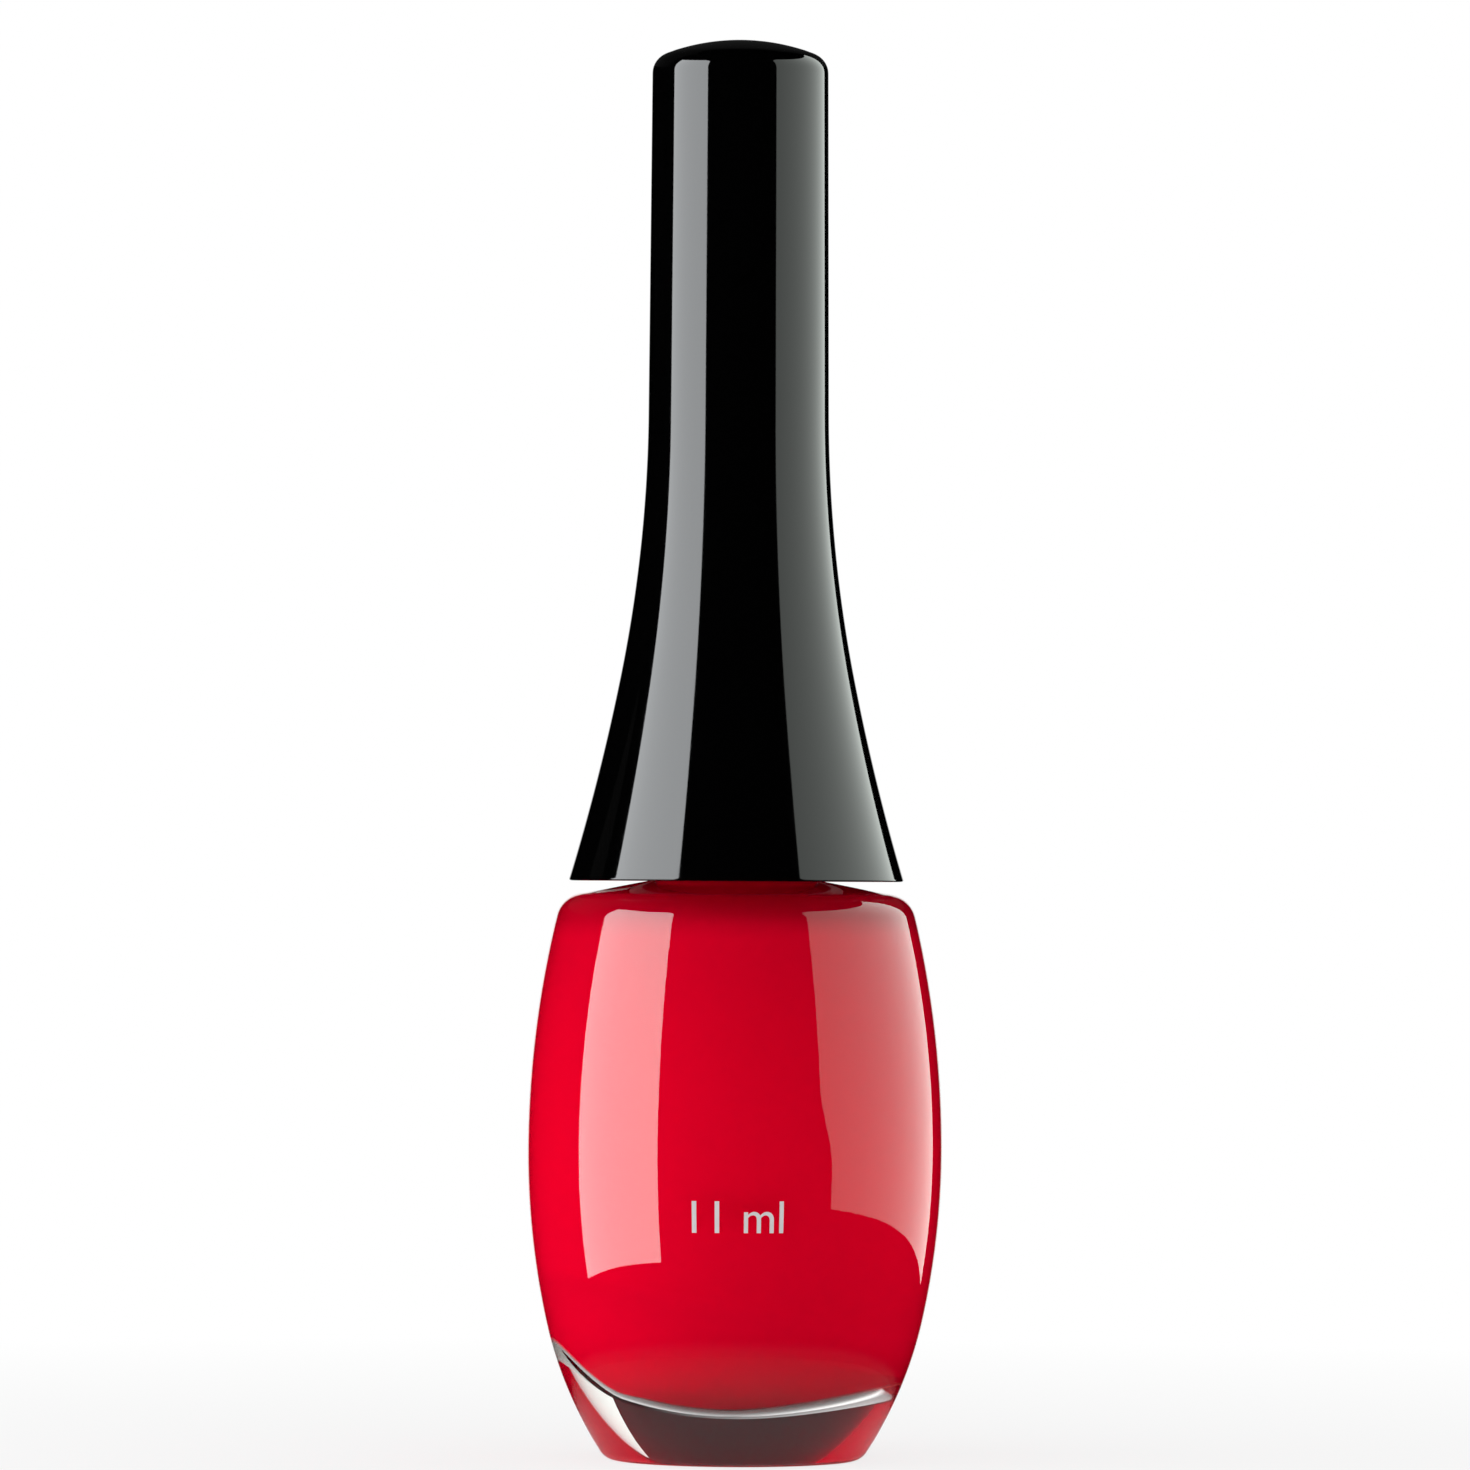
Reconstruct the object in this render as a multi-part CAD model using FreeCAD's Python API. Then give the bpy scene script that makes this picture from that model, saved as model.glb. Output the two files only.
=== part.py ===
"""Nail polish bottle: glass bottle, lacquer, brush, threaded closure and tall overcap.

Millimetres. The origin is the centre of the base, +Z is up and -Y is the front.
Every round piece is turned about Z from a half outline in the XZ plane.
"""
import FreeCAD, Part
import math
import os

from FreeCAD import Vector

# Bottle body
belly_radius = 14.08
belly_height = 21.0
upper_side_radius = 68.0
lower_side_radius = 53.0
foot_side_radius = 27.0
foot_side_height = 9.45
base_corner_radius = 1.2
shoulder_height = 37.75
shoulder_corner_radius = 2.0
shoulder_slope = 10.5
neck_fillet_radius = 0.5
glass_wall = 1.9
glass_floor = 4.8
floor_dish_radius = 13.2
shoulder_thickness = 1.7
cavity_corner_radius = 2.4
bore_corner_radius = 1.5

# Label under the base
label_recess_radius = 6.9
label_recess_depth = 0.5
label_margin = 0.3
label_thickness = 0.12

# Neck finish, 13 mm with 12 threads to the inch
neck_radius = 5.7
neck_bore_radius = 3.6
neck_length = 11.4
lip_corner_radius = 0.6
thread_height = 0.75
thread_pitch = 25.4 / 12
thread_turns = 1.5
thread_start_above_shoulder = 3.4
thread_root_width = 1.0
thread_crest_width = 0.4
thread_embed = 0.15
unscrew_turns = 1.5

# Lacquer
fill_above_shoulder = 1.2
brush_clearance = 0.3

# Mixing balls
ball_radius = 1.6
ball_orbit_radius = 4.6
ball_clearance = 0.1

# Brush
stem_radius = 1.7
tuft_length = 15.0
tuft_tip_above_floor = 4.0
tuft_root_radius = 1.2
tuft_belly_radius = 2.1
tuft_belly_above_tip = 5.0
tuft_half_thickness = 1.6
tuft_tip_radius = 1.0
tuft_swing = 20.0
root_depth = 4.0
root_gap = 0.1
staple_wire_radius = 0.2
staple_inset = 0.35
flange_inset = 0.2
flange_thickness = 1.2
spigot_radius = 2.3
spigot_length = 5.0
bead_height = 0.25
bead_length = 0.8
bead_above_flange = 3.0
liner_thickness = 0.9
liner_bore_clearance = 0.35

# Threaded closure
running_clearance = 0.06
closure_rim_above_shoulder = 0.8
closure_thread_turns = 1.1
closure_thread_clearance = 0.15
closure_flank_gap = 0.25
closure_root_clearance = 0.15
closure_skirt_wall = 0.9
closure_skirt_top_above_thread = 0.9
closure_collar_clearance = 0.2
closure_roof_thickness = 1.2
boss_radius = 4.3
boss_length = 12.0
core_radius = 3.0
core_floor_thickness = 1.2

# Overcap
cap_rim_above_shoulder = 1.5
cap_length = 57.25
cap_side_over_neck = 0.45
cap_flare_above_rim = 31.75
cap_draft = 0.36
cap_flare_radius = 95.0
cap_flare_angle = 11.3
cap_skirt_radius = 150.0
cap_dome_radius = 14.3
cap_top_corner_radius = 1.4
cap_inner_corner_radius = 0.3
cap_wall = 1.1
cap_roof_thickness = 1.6
cap_seat_clearance = 0.08
rib_count = 6
rib_thickness = 1.0
rib_key_depth = 0.4
rib_key_clearance = 0.05
upper_rib_length = 14.0
lower_rib_inset = 2.0

# Heights worked out from the sizes above
neck_root_height = shoulder_height + (belly_radius - neck_radius) * math.tan(math.radians(shoulder_slope))
lip_height = neck_root_height + neck_length
flange_radius = neck_radius - flange_inset
cap_side_radius = neck_radius + cap_side_over_neck
cap_rim_height = shoulder_height + cap_rim_above_shoulder
cap_flare_height = cap_rim_height + cap_flare_above_rim
cap_top_height = cap_rim_height + cap_length
fill_height = neck_root_height + fill_above_shoulder
tuft_tip_height = glass_floor + tuft_tip_above_floor
tuft_pivot_height = tuft_tip_height + tuft_length
stem_tip_height = tuft_pivot_height + tuft_root_radius + root_gap
liner_top_height = lip_height + liner_thickness
flange_top_height = liner_top_height + flange_thickness
roof_top_height = flange_top_height + closure_roof_thickness
boss_top_height = roof_top_height + boss_length
closure_rim_height = neck_root_height + closure_rim_above_shoulder
thread_start_height = neck_root_height + thread_start_above_shoulder
thread_top_height = thread_start_height + thread_turns * thread_pitch
thread_crest_radius = neck_radius + thread_height
closure_root_radius = thread_crest_radius + closure_root_clearance
closure_skirt_radius = closure_root_radius + closure_skirt_wall
closure_skirt_top = thread_top_height + closure_skirt_top_above_thread
closure_collar_radius = neck_radius + closure_collar_clearance
cap_rise = thread_pitch * unscrew_turns
ball_drop = math.sqrt((floor_dish_radius - ball_radius - ball_clearance) ** 2 - ball_orbit_radius ** 2)
ball_height = glass_floor + floor_dish_radius - ball_drop

FAR = 200.0  # past the object on every side
OVERCUT = 1.0  # how far a cutting shape runs past the face it opens
SETTLE_STEPS = 20  # repeats that find where two outlines meet


def at(radius, height):
    return Vector(radius, 0, height)


def line(start, end):
    return Part.LineSegment(start, end).toShape()


def on_circle(centre, radius, angle):
    return centre + Vector(radius * math.cos(angle), 0, radius * math.sin(angle))


def arc(centre, radius, start, end):
    middle = (start + end) / 2
    points = [on_circle(centre, radius, a) for a in (start, middle, end)]
    return Part.Arc(*points).toShape()


def turned(edges):
    """The solid swept by a closed half outline about Z."""
    face = Part.Face(Part.Wire(Part.__sortEdges__(edges)))
    return face.revolve(Vector(0, 0, 0), Vector(0, 0, 1), 360)


def turned_outline(*points):
    """A turned solid with straight sides between (radius, height) points."""
    corners = [at(*p) for p in points]
    return turned([line(a, b) for a, b in zip(corners, corners[1:] + corners[:1])])


def drum(radius, low, high):
    return Part.makeCylinder(radius, high - low, Vector(0, 0, low))


def rounded(solid, height, radius, size):
    """Rounds the circular edge nearest to this height and radius."""
    def is_level_circle(edge):
        if edge.Degenerated or not isinstance(edge.Curve, Part.Circle):
            return False
        axis = edge.Curve.Axis
        return abs(axis.z) > math.hypot(axis.x, axis.y)

    def miss(edge):
        return math.hypot(edge.Curve.Center.z - height, edge.Curve.Radius - radius)
    nearest = min(filter(is_level_circle, solid.Edges), key=miss)
    return solid.makeFillet(size, [nearest])


# Bottle outline: three arcs that meet at the same slope. Angles are the outline's normal.
upper_centre = at(belly_radius - upper_side_radius, belly_height)
lower_centre = at(belly_radius - lower_side_radius, belly_height)
foot_angle = -math.asin((belly_height - foot_side_height) / lower_side_radius)
foot_centre = on_circle(lower_centre, lower_side_radius - foot_side_radius, foot_angle)


def angle_at(centre, radius, height):
    return math.asin((height - centre.z) / radius)


def bottle_flank(inset, low, high):
    """Edges of the bottle's side from one height to another, this far inside the glass."""
    foot = foot_side_radius - inset
    lower = lower_side_radius - inset
    upper = upper_side_radius - inset
    return [
        arc(foot_centre, foot, angle_at(foot_centre, foot, low), foot_angle),
        arc(lower_centre, lower, foot_angle, 0),
        arc(upper_centre, upper, 0, angle_at(upper_centre, upper, high)),
    ]


def filled_to_axis(flank, roof):
    """Closes a flank with a flat floor and the given points of its roof, down to the axis."""
    ends = [v.Point for edge in flank for v in (edge.Vertexes[0], edge.Vertexes[-1])]
    low = min(ends, key=lambda p: p.z)
    high = max(ends, key=lambda p: p.z)
    corners = [high] + roof + [at(0, low.z), low]
    return turned(flank + [line(a, b) for a, b in zip(corners, corners[1:])])


def shoulder_point(radius, drop=0.0):
    """A point on the sloping shoulder, or this far below it."""
    rise = (belly_radius - radius) * math.tan(math.radians(shoulder_slope))
    return at(radius, shoulder_height + rise - drop)


def shoulder_edge(inset, drop):
    """The height at which the side meets the shoulder."""
    height = shoulder_height
    for _ in range(SETTLE_STEPS):
        radius = upper_side_radius - inset
        angle = angle_at(upper_centre, radius, height)
        side = on_circle(upper_centre, radius, angle).x
        height = shoulder_point(side, drop).z
    return height


def under_floor():
    """The glass under the dished floor, and all round it."""
    centre = at(0, glass_floor + floor_dish_radius)
    return drum(FAR, 0, centre.z).cut(Part.makeSphere(floor_dish_radius, centre))


def cavity():
    """The space inside the bottle, up through the neck and past the lip."""
    edge = shoulder_edge(glass_wall, shoulder_thickness)
    mouth = lip_height + OVERCUT
    roof = [shoulder_point(neck_bore_radius, shoulder_thickness), at(neck_bore_radius, mouth), at(0, mouth)]
    space = filled_to_axis(bottle_flank(glass_wall, glass_floor, edge), roof).cut(under_floor())
    space = rounded(space, edge, belly_radius - glass_wall, cavity_corner_radius)
    return rounded(space, roof[0].z, neck_bore_radius, bore_corner_radius)


def helical_ridge(root_radius, crest_radius, root_width, crest_width, start_height, turns, embed):
    """A ridge of trapezium section wound right-handed about Z, its root sunk into the wall."""
    outward = 1 if crest_radius > root_radius else -1
    foot = root_radius - outward * embed
    flank = (root_width - crest_width) / abs(crest_radius - root_radius)
    foot_width = root_width + flank * embed
    path = Part.makeHelix(thread_pitch, thread_pitch * turns, foot)
    path.translate(Vector(0, 0, start_height))
    corners = [
        at(foot, start_height - foot_width / 2),
        at(crest_radius, start_height - crest_width / 2),
        at(crest_radius, start_height + crest_width / 2),
        at(foot, start_height + foot_width / 2),
    ]
    section = Part.makePolygon(corners + corners[:1])
    ridge = Part.Wire(path.Edges).makePipeShell([section], True, True)
    if ridge.Volume < 0:
        ridge.reverse()
    return ridge


def glass_bottle():
    edge = shoulder_edge(0, 0)
    roof = [shoulder_point(neck_radius), at(neck_radius, lip_height), at(0, lip_height)]
    body = filled_to_axis(bottle_flank(0, 0, edge), roof)
    foot_radius = on_circle(foot_centre, foot_side_radius, angle_at(foot_centre, foot_side_radius, 0)).x
    body = rounded(body, 0, foot_radius, base_corner_radius)
    body = rounded(body, edge, belly_radius, shoulder_corner_radius)
    body = rounded(body, neck_root_height, neck_radius, neck_fillet_radius)
    body = rounded(body, lip_height, neck_radius, lip_corner_radius)
    body = body.cut(cavity())
    recess_mouth_radius = label_recess_radius + label_recess_depth
    body = body.cut(turned_outline(
        (0, -OVERCUT), (recess_mouth_radius, -OVERCUT), (recess_mouth_radius, 0),
        (label_recess_radius, label_recess_depth), (0, label_recess_depth)))
    thread = helical_ridge(neck_radius, thread_crest_radius, thread_root_width, thread_crest_width,
                           thread_start_height, thread_turns, thread_embed)
    return body.fuse(thread)


def base_label():
    return drum(label_recess_radius - label_margin, label_recess_depth - label_thickness, label_recess_depth)


def ball(side):
    return Part.makeSphere(ball_radius, Vector(0, side * ball_orbit_radius, ball_height))


def ball_channel():
    """The ring that the mixing balls roll round in, open to the glass floor."""
    reach = ball_radius + ball_clearance
    centre = at(ball_orbit_radius, ball_height)
    corners = [centre + Vector(-reach, 0, 0), at(ball_orbit_radius - reach, glass_floor - OVERCUT),
               at(ball_orbit_radius + reach, glass_floor - OVERCUT), centre + Vector(reach, 0, 0)]
    roof = arc(centre, reach, 0, math.pi)
    return turned([roof] + [line(a, b) for a, b in zip(corners, corners[1:])])


def swing_space():
    """Room for the bristles to bend both ways, at rest and with the brush raised by the thread."""
    reach = tuft_length + brush_clearance
    half_width = tuft_belly_radius + brush_clearance
    swing = math.radians(tuft_swing)
    edge_angle = swing + math.asin(half_width / reach)
    pivot = at(0, tuft_pivot_height)
    top = tuft_pivot_height + tuft_root_radius + cap_rise
    low_left = on_circle(pivot, reach, -math.pi / 2 - edge_angle)
    low_right = on_circle(pivot, reach, -math.pi / 2 + edge_angle)
    side = half_width / math.cos(swing)
    corners = [low_right, low_right + Vector(0, 0, cap_rise), at(side, top), at(-side, top),
               low_left + Vector(0, 0, cap_rise), low_left]
    edges = [line(a, b) for a, b in zip(corners, corners[1:])]
    edges.append(arc(pivot, reach, -math.pi / 2 - edge_angle, -math.pi / 2 + edge_angle))
    face = Part.Face(Part.Wire(Part.__sortEdges__(edges)))
    face.translate(Vector(0, -half_width, 0))
    return face.extrude(Vector(0, 2 * half_width, 0))


def polish_fill():
    lacquer = cavity().common(drum(FAR, 0, fill_height))
    well = drum(tuft_belly_radius + brush_clearance, tuft_pivot_height, lip_height)
    return lacquer.cut(ball_channel()).cut(swing_space()).cut(well)


def sealing_liner():
    bore = drum(stem_radius + liner_bore_clearance, lip_height, liner_top_height)
    return drum(flange_radius, lip_height, liner_top_height).cut(bore)


def brush_stem():
    bead_low = flange_top_height + bead_above_flange
    bead_radius = spigot_radius + bead_height
    spigot_top = flange_top_height + spigot_length
    chamfer = bead_height
    tip_rounding = (stem_radius - tuft_root_radius) / 2
    stem = turned_outline(
        (0, stem_tip_height), (stem_radius, stem_tip_height), (stem_radius, liner_top_height),
        (flange_radius, liner_top_height), (flange_radius, flange_top_height),
        (spigot_radius, flange_top_height), (spigot_radius, bead_low), (bead_radius, bead_low + chamfer),
        (bead_radius, bead_low + bead_length - chamfer), (spigot_radius, bead_low + bead_length),
        (spigot_radius, spigot_top - chamfer), (spigot_radius - chamfer, spigot_top), (0, spigot_top))
    stem = rounded(stem, stem_tip_height, stem_radius, tip_rounding)
    return stem.cut(drum(tuft_root_radius, stem_tip_height - OVERCUT, stem_tip_height + root_depth))


def tuft_anchor():
    """A staple of round wire: a bridge across the top of the socket and a leg down each side."""
    top = stem_tip_height + root_depth - staple_inset - staple_wire_radius
    half_span = tuft_root_radius - staple_inset - staple_wire_radius
    leg = root_depth / 2
    across = Part.makeCylinder(staple_wire_radius, 2 * half_span, at(-half_span, top), Vector(1, 0, 0))
    for side in (-1, 1):
        across = across.fuse(Part.makeCylinder(staple_wire_radius, leg, at(side * half_span, top - leg)))
        across = across.fuse(Part.makeSphere(staple_wire_radius, at(side * half_span, top)))
    return across


def bristle_root():
    bundle = drum(tuft_root_radius, stem_tip_height, stem_tip_height + root_depth)
    return bundle.cut(tuft_anchor())


def bristle_tuft():
    """The free bristles as one flattened, rounded solid that pivots in the stem's tip."""
    dome = arc(at(0, tuft_pivot_height), tuft_root_radius, 0, math.pi / 2)
    belly = at(tuft_belly_radius, tuft_tip_height + tuft_belly_above_tip)
    root = at(tuft_root_radius, tuft_pivot_height)
    tip = at(tuft_tip_radius, tuft_tip_height)
    side = Part.BSplineCurve()
    side.interpolate([root, (root + belly) / 2, belly, tip])
    edges = [dome, side.toShape(), line(tip, at(0, tuft_tip_height)),
             line(at(0, tuft_tip_height), at(0, tuft_pivot_height + tuft_root_radius))]
    bundle = turned(edges)
    slab = Part.makeBox(FAR, 2 * tuft_half_thickness, FAR, Vector(-FAR / 2, -tuft_half_thickness, -FAR / 2))
    return bundle.common(slab)


# Overcap outline: a dome, a nearly straight side and two arcs that flare out to the rim.
draft = math.radians(cap_draft)
flare = math.radians(cap_flare_angle)
flare_centre = on_circle(at(cap_side_radius, cap_flare_height), cap_flare_radius, draft)
skirt_centre = on_circle(flare_centre, cap_skirt_radius - cap_flare_radius, flare)


def concave_angle(centre, radius, height):
    return math.asin((centre.z - height) / radius)


def cap_radius(height, inset=0.0):
    """The overcap's radius at a height, this far inside its outer surface."""
    flare_radius = cap_flare_radius + inset
    angle = concave_angle(flare_centre, flare_radius, height)
    if angle <= flare:
        return flare_centre.x - flare_radius * math.cos(angle)
    skirt_radius = cap_skirt_radius + inset
    angle = concave_angle(skirt_centre, skirt_radius, height)
    return skirt_centre.x - skirt_radius * math.cos(angle)


def cap_body(inset, roof_inset, rim):
    """The overcap's outer form, drawn in by a wall thickness and cut off at a height."""
    def bend(centre, radius, start, end):
        return arc(centre, radius, math.pi + start, math.pi + end)
    flare_radius = cap_flare_radius + inset
    skirt_radius = cap_skirt_radius + inset
    edges = [
        bend(flare_centre, flare_radius, draft, flare),
        bend(skirt_centre, skirt_radius, flare, concave_angle(skirt_centre, skirt_radius, rim)),
    ]
    side_foot = on_circle(flare_centre, flare_radius, math.pi + draft)
    dome = cap_dome_radius - roof_inset
    dome_centre = at(0, cap_top_height - cap_dome_radius)
    side_top = side_foot
    for _ in range(SETTLE_STEPS):
        height = dome_centre.z + math.sqrt(dome ** 2 - side_top.x ** 2)
        side_top = at(side_foot.x - (height - side_foot.z) * math.tan(draft), height)
    edges.append(line(side_foot, side_top))
    edges.append(arc(dome_centre, dome, math.atan2(side_top.z - dome_centre.z, side_top.x), math.pi / 2))
    edges.append(line(dome_centre + Vector(0, 0, dome), at(0, rim)))
    edges.append(line(at(0, rim), at(cap_radius(rim, inset), rim)))
    body = turned(edges)
    return rounded(body, side_top.z, side_top.x, cap_inner_corner_radius if inset else cap_top_corner_radius)


def rib_plates(inner, low, high, thickness):
    """Flat plates set round the axis like spokes."""
    plates = []
    for n in range(rib_count):
        plate = Part.makeBox(FAR - inner, thickness, high - low, Vector(inner, -thickness / 2, low))
        plate.rotate(Vector(0, 0, 0), Vector(0, 0, 1), 360 / rib_count * n)
        plates.append(plate)
    return plates[0].multiFuse(plates[1:])


def closure_form():
    """The closure's outside: a skirt, a taper that follows the overcap's wall, and a boss."""
    taper = [closure_skirt_top, roof_top_height]
    taper_points = [(cap_radius(z, cap_wall) - cap_seat_clearance, z) for z in taper]
    return turned_outline(
        (0, closure_rim_height), (closure_skirt_radius, closure_rim_height),
        (closure_skirt_radius, closure_skirt_top), *taper_points,
        (boss_radius, roof_top_height), (boss_radius, boss_top_height), (0, boss_top_height))


def inner_cap():
    body = closure_form()
    bead_radius = spigot_radius + bead_height + running_clearance
    bead_low = flange_top_height + bead_above_flange
    groove_low = bead_low - running_clearance
    socket_radius = spigot_radius + running_clearance
    socket_top = flange_top_height + spigot_length + running_clearance
    body = body.cut(turned_outline(
        (0, closure_rim_height - OVERCUT), (closure_root_radius, closure_rim_height - OVERCUT),
        (closure_root_radius, closure_skirt_top - closure_skirt_wall),
        (closure_collar_radius, closure_skirt_top - closure_skirt_wall + thread_height),
        (closure_collar_radius, flange_top_height), (socket_radius, flange_top_height),
        (socket_radius, groove_low), (bead_radius, groove_low + bead_height),
        (bead_radius, bead_low + bead_length), (socket_radius, bead_low + bead_length + bead_height),
        (socket_radius, socket_top), (0, socket_top)))
    body = body.cut(drum(core_radius, socket_top + core_floor_thickness, boss_top_height + OVERCUT))
    keyways = rib_plates(boss_radius - rib_key_depth, roof_top_height, boss_top_height + OVERCUT,
                         rib_thickness + 2 * rib_key_clearance)
    body = body.cut(keyways)
    drop = (thread_root_width + thread_crest_width) / 2 + closure_flank_gap
    thread = helical_ridge(closure_root_radius, neck_radius + closure_thread_clearance, thread_root_width,
                           thread_crest_width, thread_start_height - drop, closure_thread_turns, thread_embed)
    return body.fuse(thread)


def overcap():
    hollow = cap_body(cap_wall, cap_roof_thickness, cap_rim_height - OVERCUT)
    shell = cap_body(0, 0, cap_rim_height).cut(hollow)
    bed = cap_body(cap_wall / 2, cap_roof_thickness / 2, cap_rim_height)
    upper = rib_plates(boss_radius - rib_key_depth, roof_top_height, roof_top_height + upper_rib_length,
                       rib_thickness)
    lower = rib_plates(closure_skirt_radius + cap_seat_clearance, cap_rim_height + lower_rib_inset,
                       closure_skirt_top, rib_thickness)
    ribs = upper.fuse(lower).common(bed)
    return shell.fuse(ribs)


nodes = {
    "glass_bottle": glass_bottle,
    "polish_fill": polish_fill,
    "base_label": base_label,
    "mixing_ball_1": lambda: ball(1),
    "mixing_ball_2": lambda: ball(-1),
    "sealing_liner": sealing_liner,
    "brush_stem": brush_stem,
    "bristle_root": bristle_root,
    "tuft_anchor": tuft_anchor,
    "bristle_tuft": bristle_tuft,
    "inner_cap": inner_cap,
    "overcap": overcap,
}

os.makedirs("parts", exist_ok=True)
for name, make in nodes.items():
    shape = make()
    shape.exportStep("parts/" + name + ".step")
    box = shape.BoundBox
    print(f"{name}: {len(shape.Solids)} solid, {shape.Volume:.2f} mm3, valid {shape.isValid()}, "
          f"z {box.ZMin:.2f} to {box.ZMax:.2f}, x {box.XMin:.2f} to {box.XMax:.2f}")
brimful = cavity().common(drum(FAR, 0, lip_height)).Volume / 1000
print(f"brimful {brimful:.2f} ml, lip at {lip_height:.2f} mm, bristle pivot at {tuft_pivot_height:.2f} mm")
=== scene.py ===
"""Looks of the nail polish bottle: clear glass, red lacquer, gloss black overcap and a wet brush.

Lengths in the tables are millimetres in the bottle's own frame and become metres when a mesh is made.
"""
import math
import random

import bmesh
import bpy
from mathutils import Matrix, Quaternion, Vector


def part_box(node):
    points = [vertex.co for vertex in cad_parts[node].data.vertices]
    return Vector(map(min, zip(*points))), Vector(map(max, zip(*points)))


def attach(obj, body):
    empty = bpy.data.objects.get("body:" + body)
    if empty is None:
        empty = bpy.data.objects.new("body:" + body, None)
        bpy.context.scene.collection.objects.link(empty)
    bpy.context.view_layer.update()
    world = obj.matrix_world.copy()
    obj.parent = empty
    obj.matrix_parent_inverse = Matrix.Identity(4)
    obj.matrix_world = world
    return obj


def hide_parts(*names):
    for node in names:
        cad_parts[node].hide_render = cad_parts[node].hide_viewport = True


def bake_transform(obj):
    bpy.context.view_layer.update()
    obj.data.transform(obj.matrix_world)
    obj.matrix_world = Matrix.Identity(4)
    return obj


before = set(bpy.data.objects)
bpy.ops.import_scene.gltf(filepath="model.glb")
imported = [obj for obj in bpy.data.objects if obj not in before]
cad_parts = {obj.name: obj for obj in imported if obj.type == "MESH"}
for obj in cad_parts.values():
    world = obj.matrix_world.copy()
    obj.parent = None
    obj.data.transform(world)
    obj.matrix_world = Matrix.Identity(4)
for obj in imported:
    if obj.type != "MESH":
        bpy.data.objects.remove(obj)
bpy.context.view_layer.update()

MM = 0.001
TURN = 2 * math.pi
AROUND = 256  # facets round each turned piece

# Bottle outline, as the construction has it
belly_radius = 14.08
belly_height = 21.0
upper_side_radius = 68.0
lower_side_radius = 53.0
foot_side_radius = 27.0
foot_side_height = 9.45
shoulder_height = 37.75
shoulder_rise = math.tan(math.radians(10.5))
shoulder_thickness = 1.7
cavity_corner_radius = 2.4
glass_wall = 1.9
neck_radius = 5.7
neck_bore_radius = 3.6
neck_length = 11.4
recess_radius = 6.9
recess_depth = 0.5
thread_height = 0.75
thread_pitch = 25.4 / 12
thread_turns = 1.5
thread_start = 3.4
thread_root_width = 1.0
thread_crest_width = 0.4
fill_above_neck_root = 1.2
bowl_radius = 13.2  # the cavity's floor is dished
bowl_corner_radius = 2.0
bowl_floor = 4.8
bowl_tilt = 1.5  # how much higher than level the bowl is on the left, at the radius below
bowl_tilt_start = 5.2  # the raised side starts outside the balls' path
bowl_tilt_radius = 8.3
bowl_tilt_limit = 1.5  # the tilt grows past that radius, up to this many times as high
bowl_tilt_top = 19.0  # the wall is level again from here up
bowl_tilt_fade = 10.0
knurl_count = 64  # shallow nicks round the ring that the bottle stands on
knurl_depth = 0.05
wetting = 0.03  # how far the lacquer and the label reach into the glass, so that no air shows between

# Overcap outline, from the rim up
cap_side_radius = 6.15
cap_draft = math.radians(0.36)
cap_flare_above_rim = 31.75
cap_flare_radius = 95.0
cap_flare_angle = math.radians(11.3)
cap_skirt_radius = 150.0
cap_dome_radius = 14.3
cap_wall = 1.1
cap_roof = 1.6
rib_count = 6
rib_thickness = 1.0
rib_rows = (  # inner radius, lower end and upper end of each row of ribs
    (3.9, 54.0, 68.0),
    (7.58, 41.25, 46.78),
)
rib_bite = 0.3  # how far a rib reaches into the overcap's wall

# Brush
stem_radius = 1.7
stem_tip_height = 25.1
tuft_root_height = 23.8
tuft_root_radius = 1.2
tuft_belly_height = 13.8
tuft_belly_radius = 2.1
tuft_half_thickness = 1.6
tuft_tip_height = 8.8
tuft_tip_radius = 1.0
filament_top_height = 25.5
wet_core_top = 22.2
wet_film_top = 36.7  # how far the lacquer clings up the stem, before its edge runs
filament_count = 260
filament_sides = 5
filament_knots = 16
filament_seed = 11
filament_film_heights = (19.5, 22.8)
filament_radii = (0.05, 0.075)
core_facets = 96
core_flutes = 17

# Volume mark on the front
mark_size = 3.1
mark_height = 15.9
mark_text = "11 ml"
mark_depth = 0.06
mark_sink = 0.03  # how far its back reaches into the glass

# Lacquer behind glass: how edge-on it has to be before the glass mirrors, which the lacquer's colour
# paints as a grey metal reflection, and where that painted reflection fades out
mirror_facing = (0.70, 0.735)
mirror_fade_metres = (0.022, 0.03)
# painted reflection: the grey that the lacquer turns where it is seen edge-on
painted_mirror_grey = (0.18, 0.18, 0.172)

# Camera, in metres
camera_distance = 0.6
camera_view_width = 0.09996
camera_roll = math.radians(0.3)
camera_height = 0.0392
camera_aim_height = 0.0492
camera_side = -0.00014

# Light, in metres and as levels where 1 is white. What the camera sees, what lights a surface,
# what comes through glass and what is reflected each have their own level.
screen_distance = 0.9
plain_light = 0.9  # from all round, on outer surfaces
light_through_glass = (1.35, 0.0)  # from the left of the room, and from right of the middle
light_through_glass_span = (-1, 0.35)
backdrop_edge = (0.97, 0.985)  # how squarely behind the bottle a reflection has to look to see white
grey_card_level = 0.02
floor_half_size = 3.0
floor_colour = (0.8, 0.8, 0.8)
floor_light_left = 4.3  # glass rays see this much floor light out at the left, and the next at the right
floor_light_right = 2.9
floor_light_reach = 0.03
floor_light_falloff = (0.03, 0.1)  # it halves over these distances from the foot
floor_fades_to_white = (0.02, 0.16)  # the shadow is clearest near the foot
floor_glow_for_glass = (0.012, 0.035)
floor_out_of_mirrors = (0.012, 0.027)

low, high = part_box("overcap")
cap_rim_height = low.z / MM
cap_top_height = high.z / MM
cap_flare_height = cap_rim_height + cap_flare_above_rim
neck_root_height = shoulder_height + (belly_radius - neck_radius) * shoulder_rise
lip_height = neck_root_height + neck_length
fill_height = neck_root_height + fill_above_neck_root


# ---------------------------------------------------------------- outlines


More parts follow.
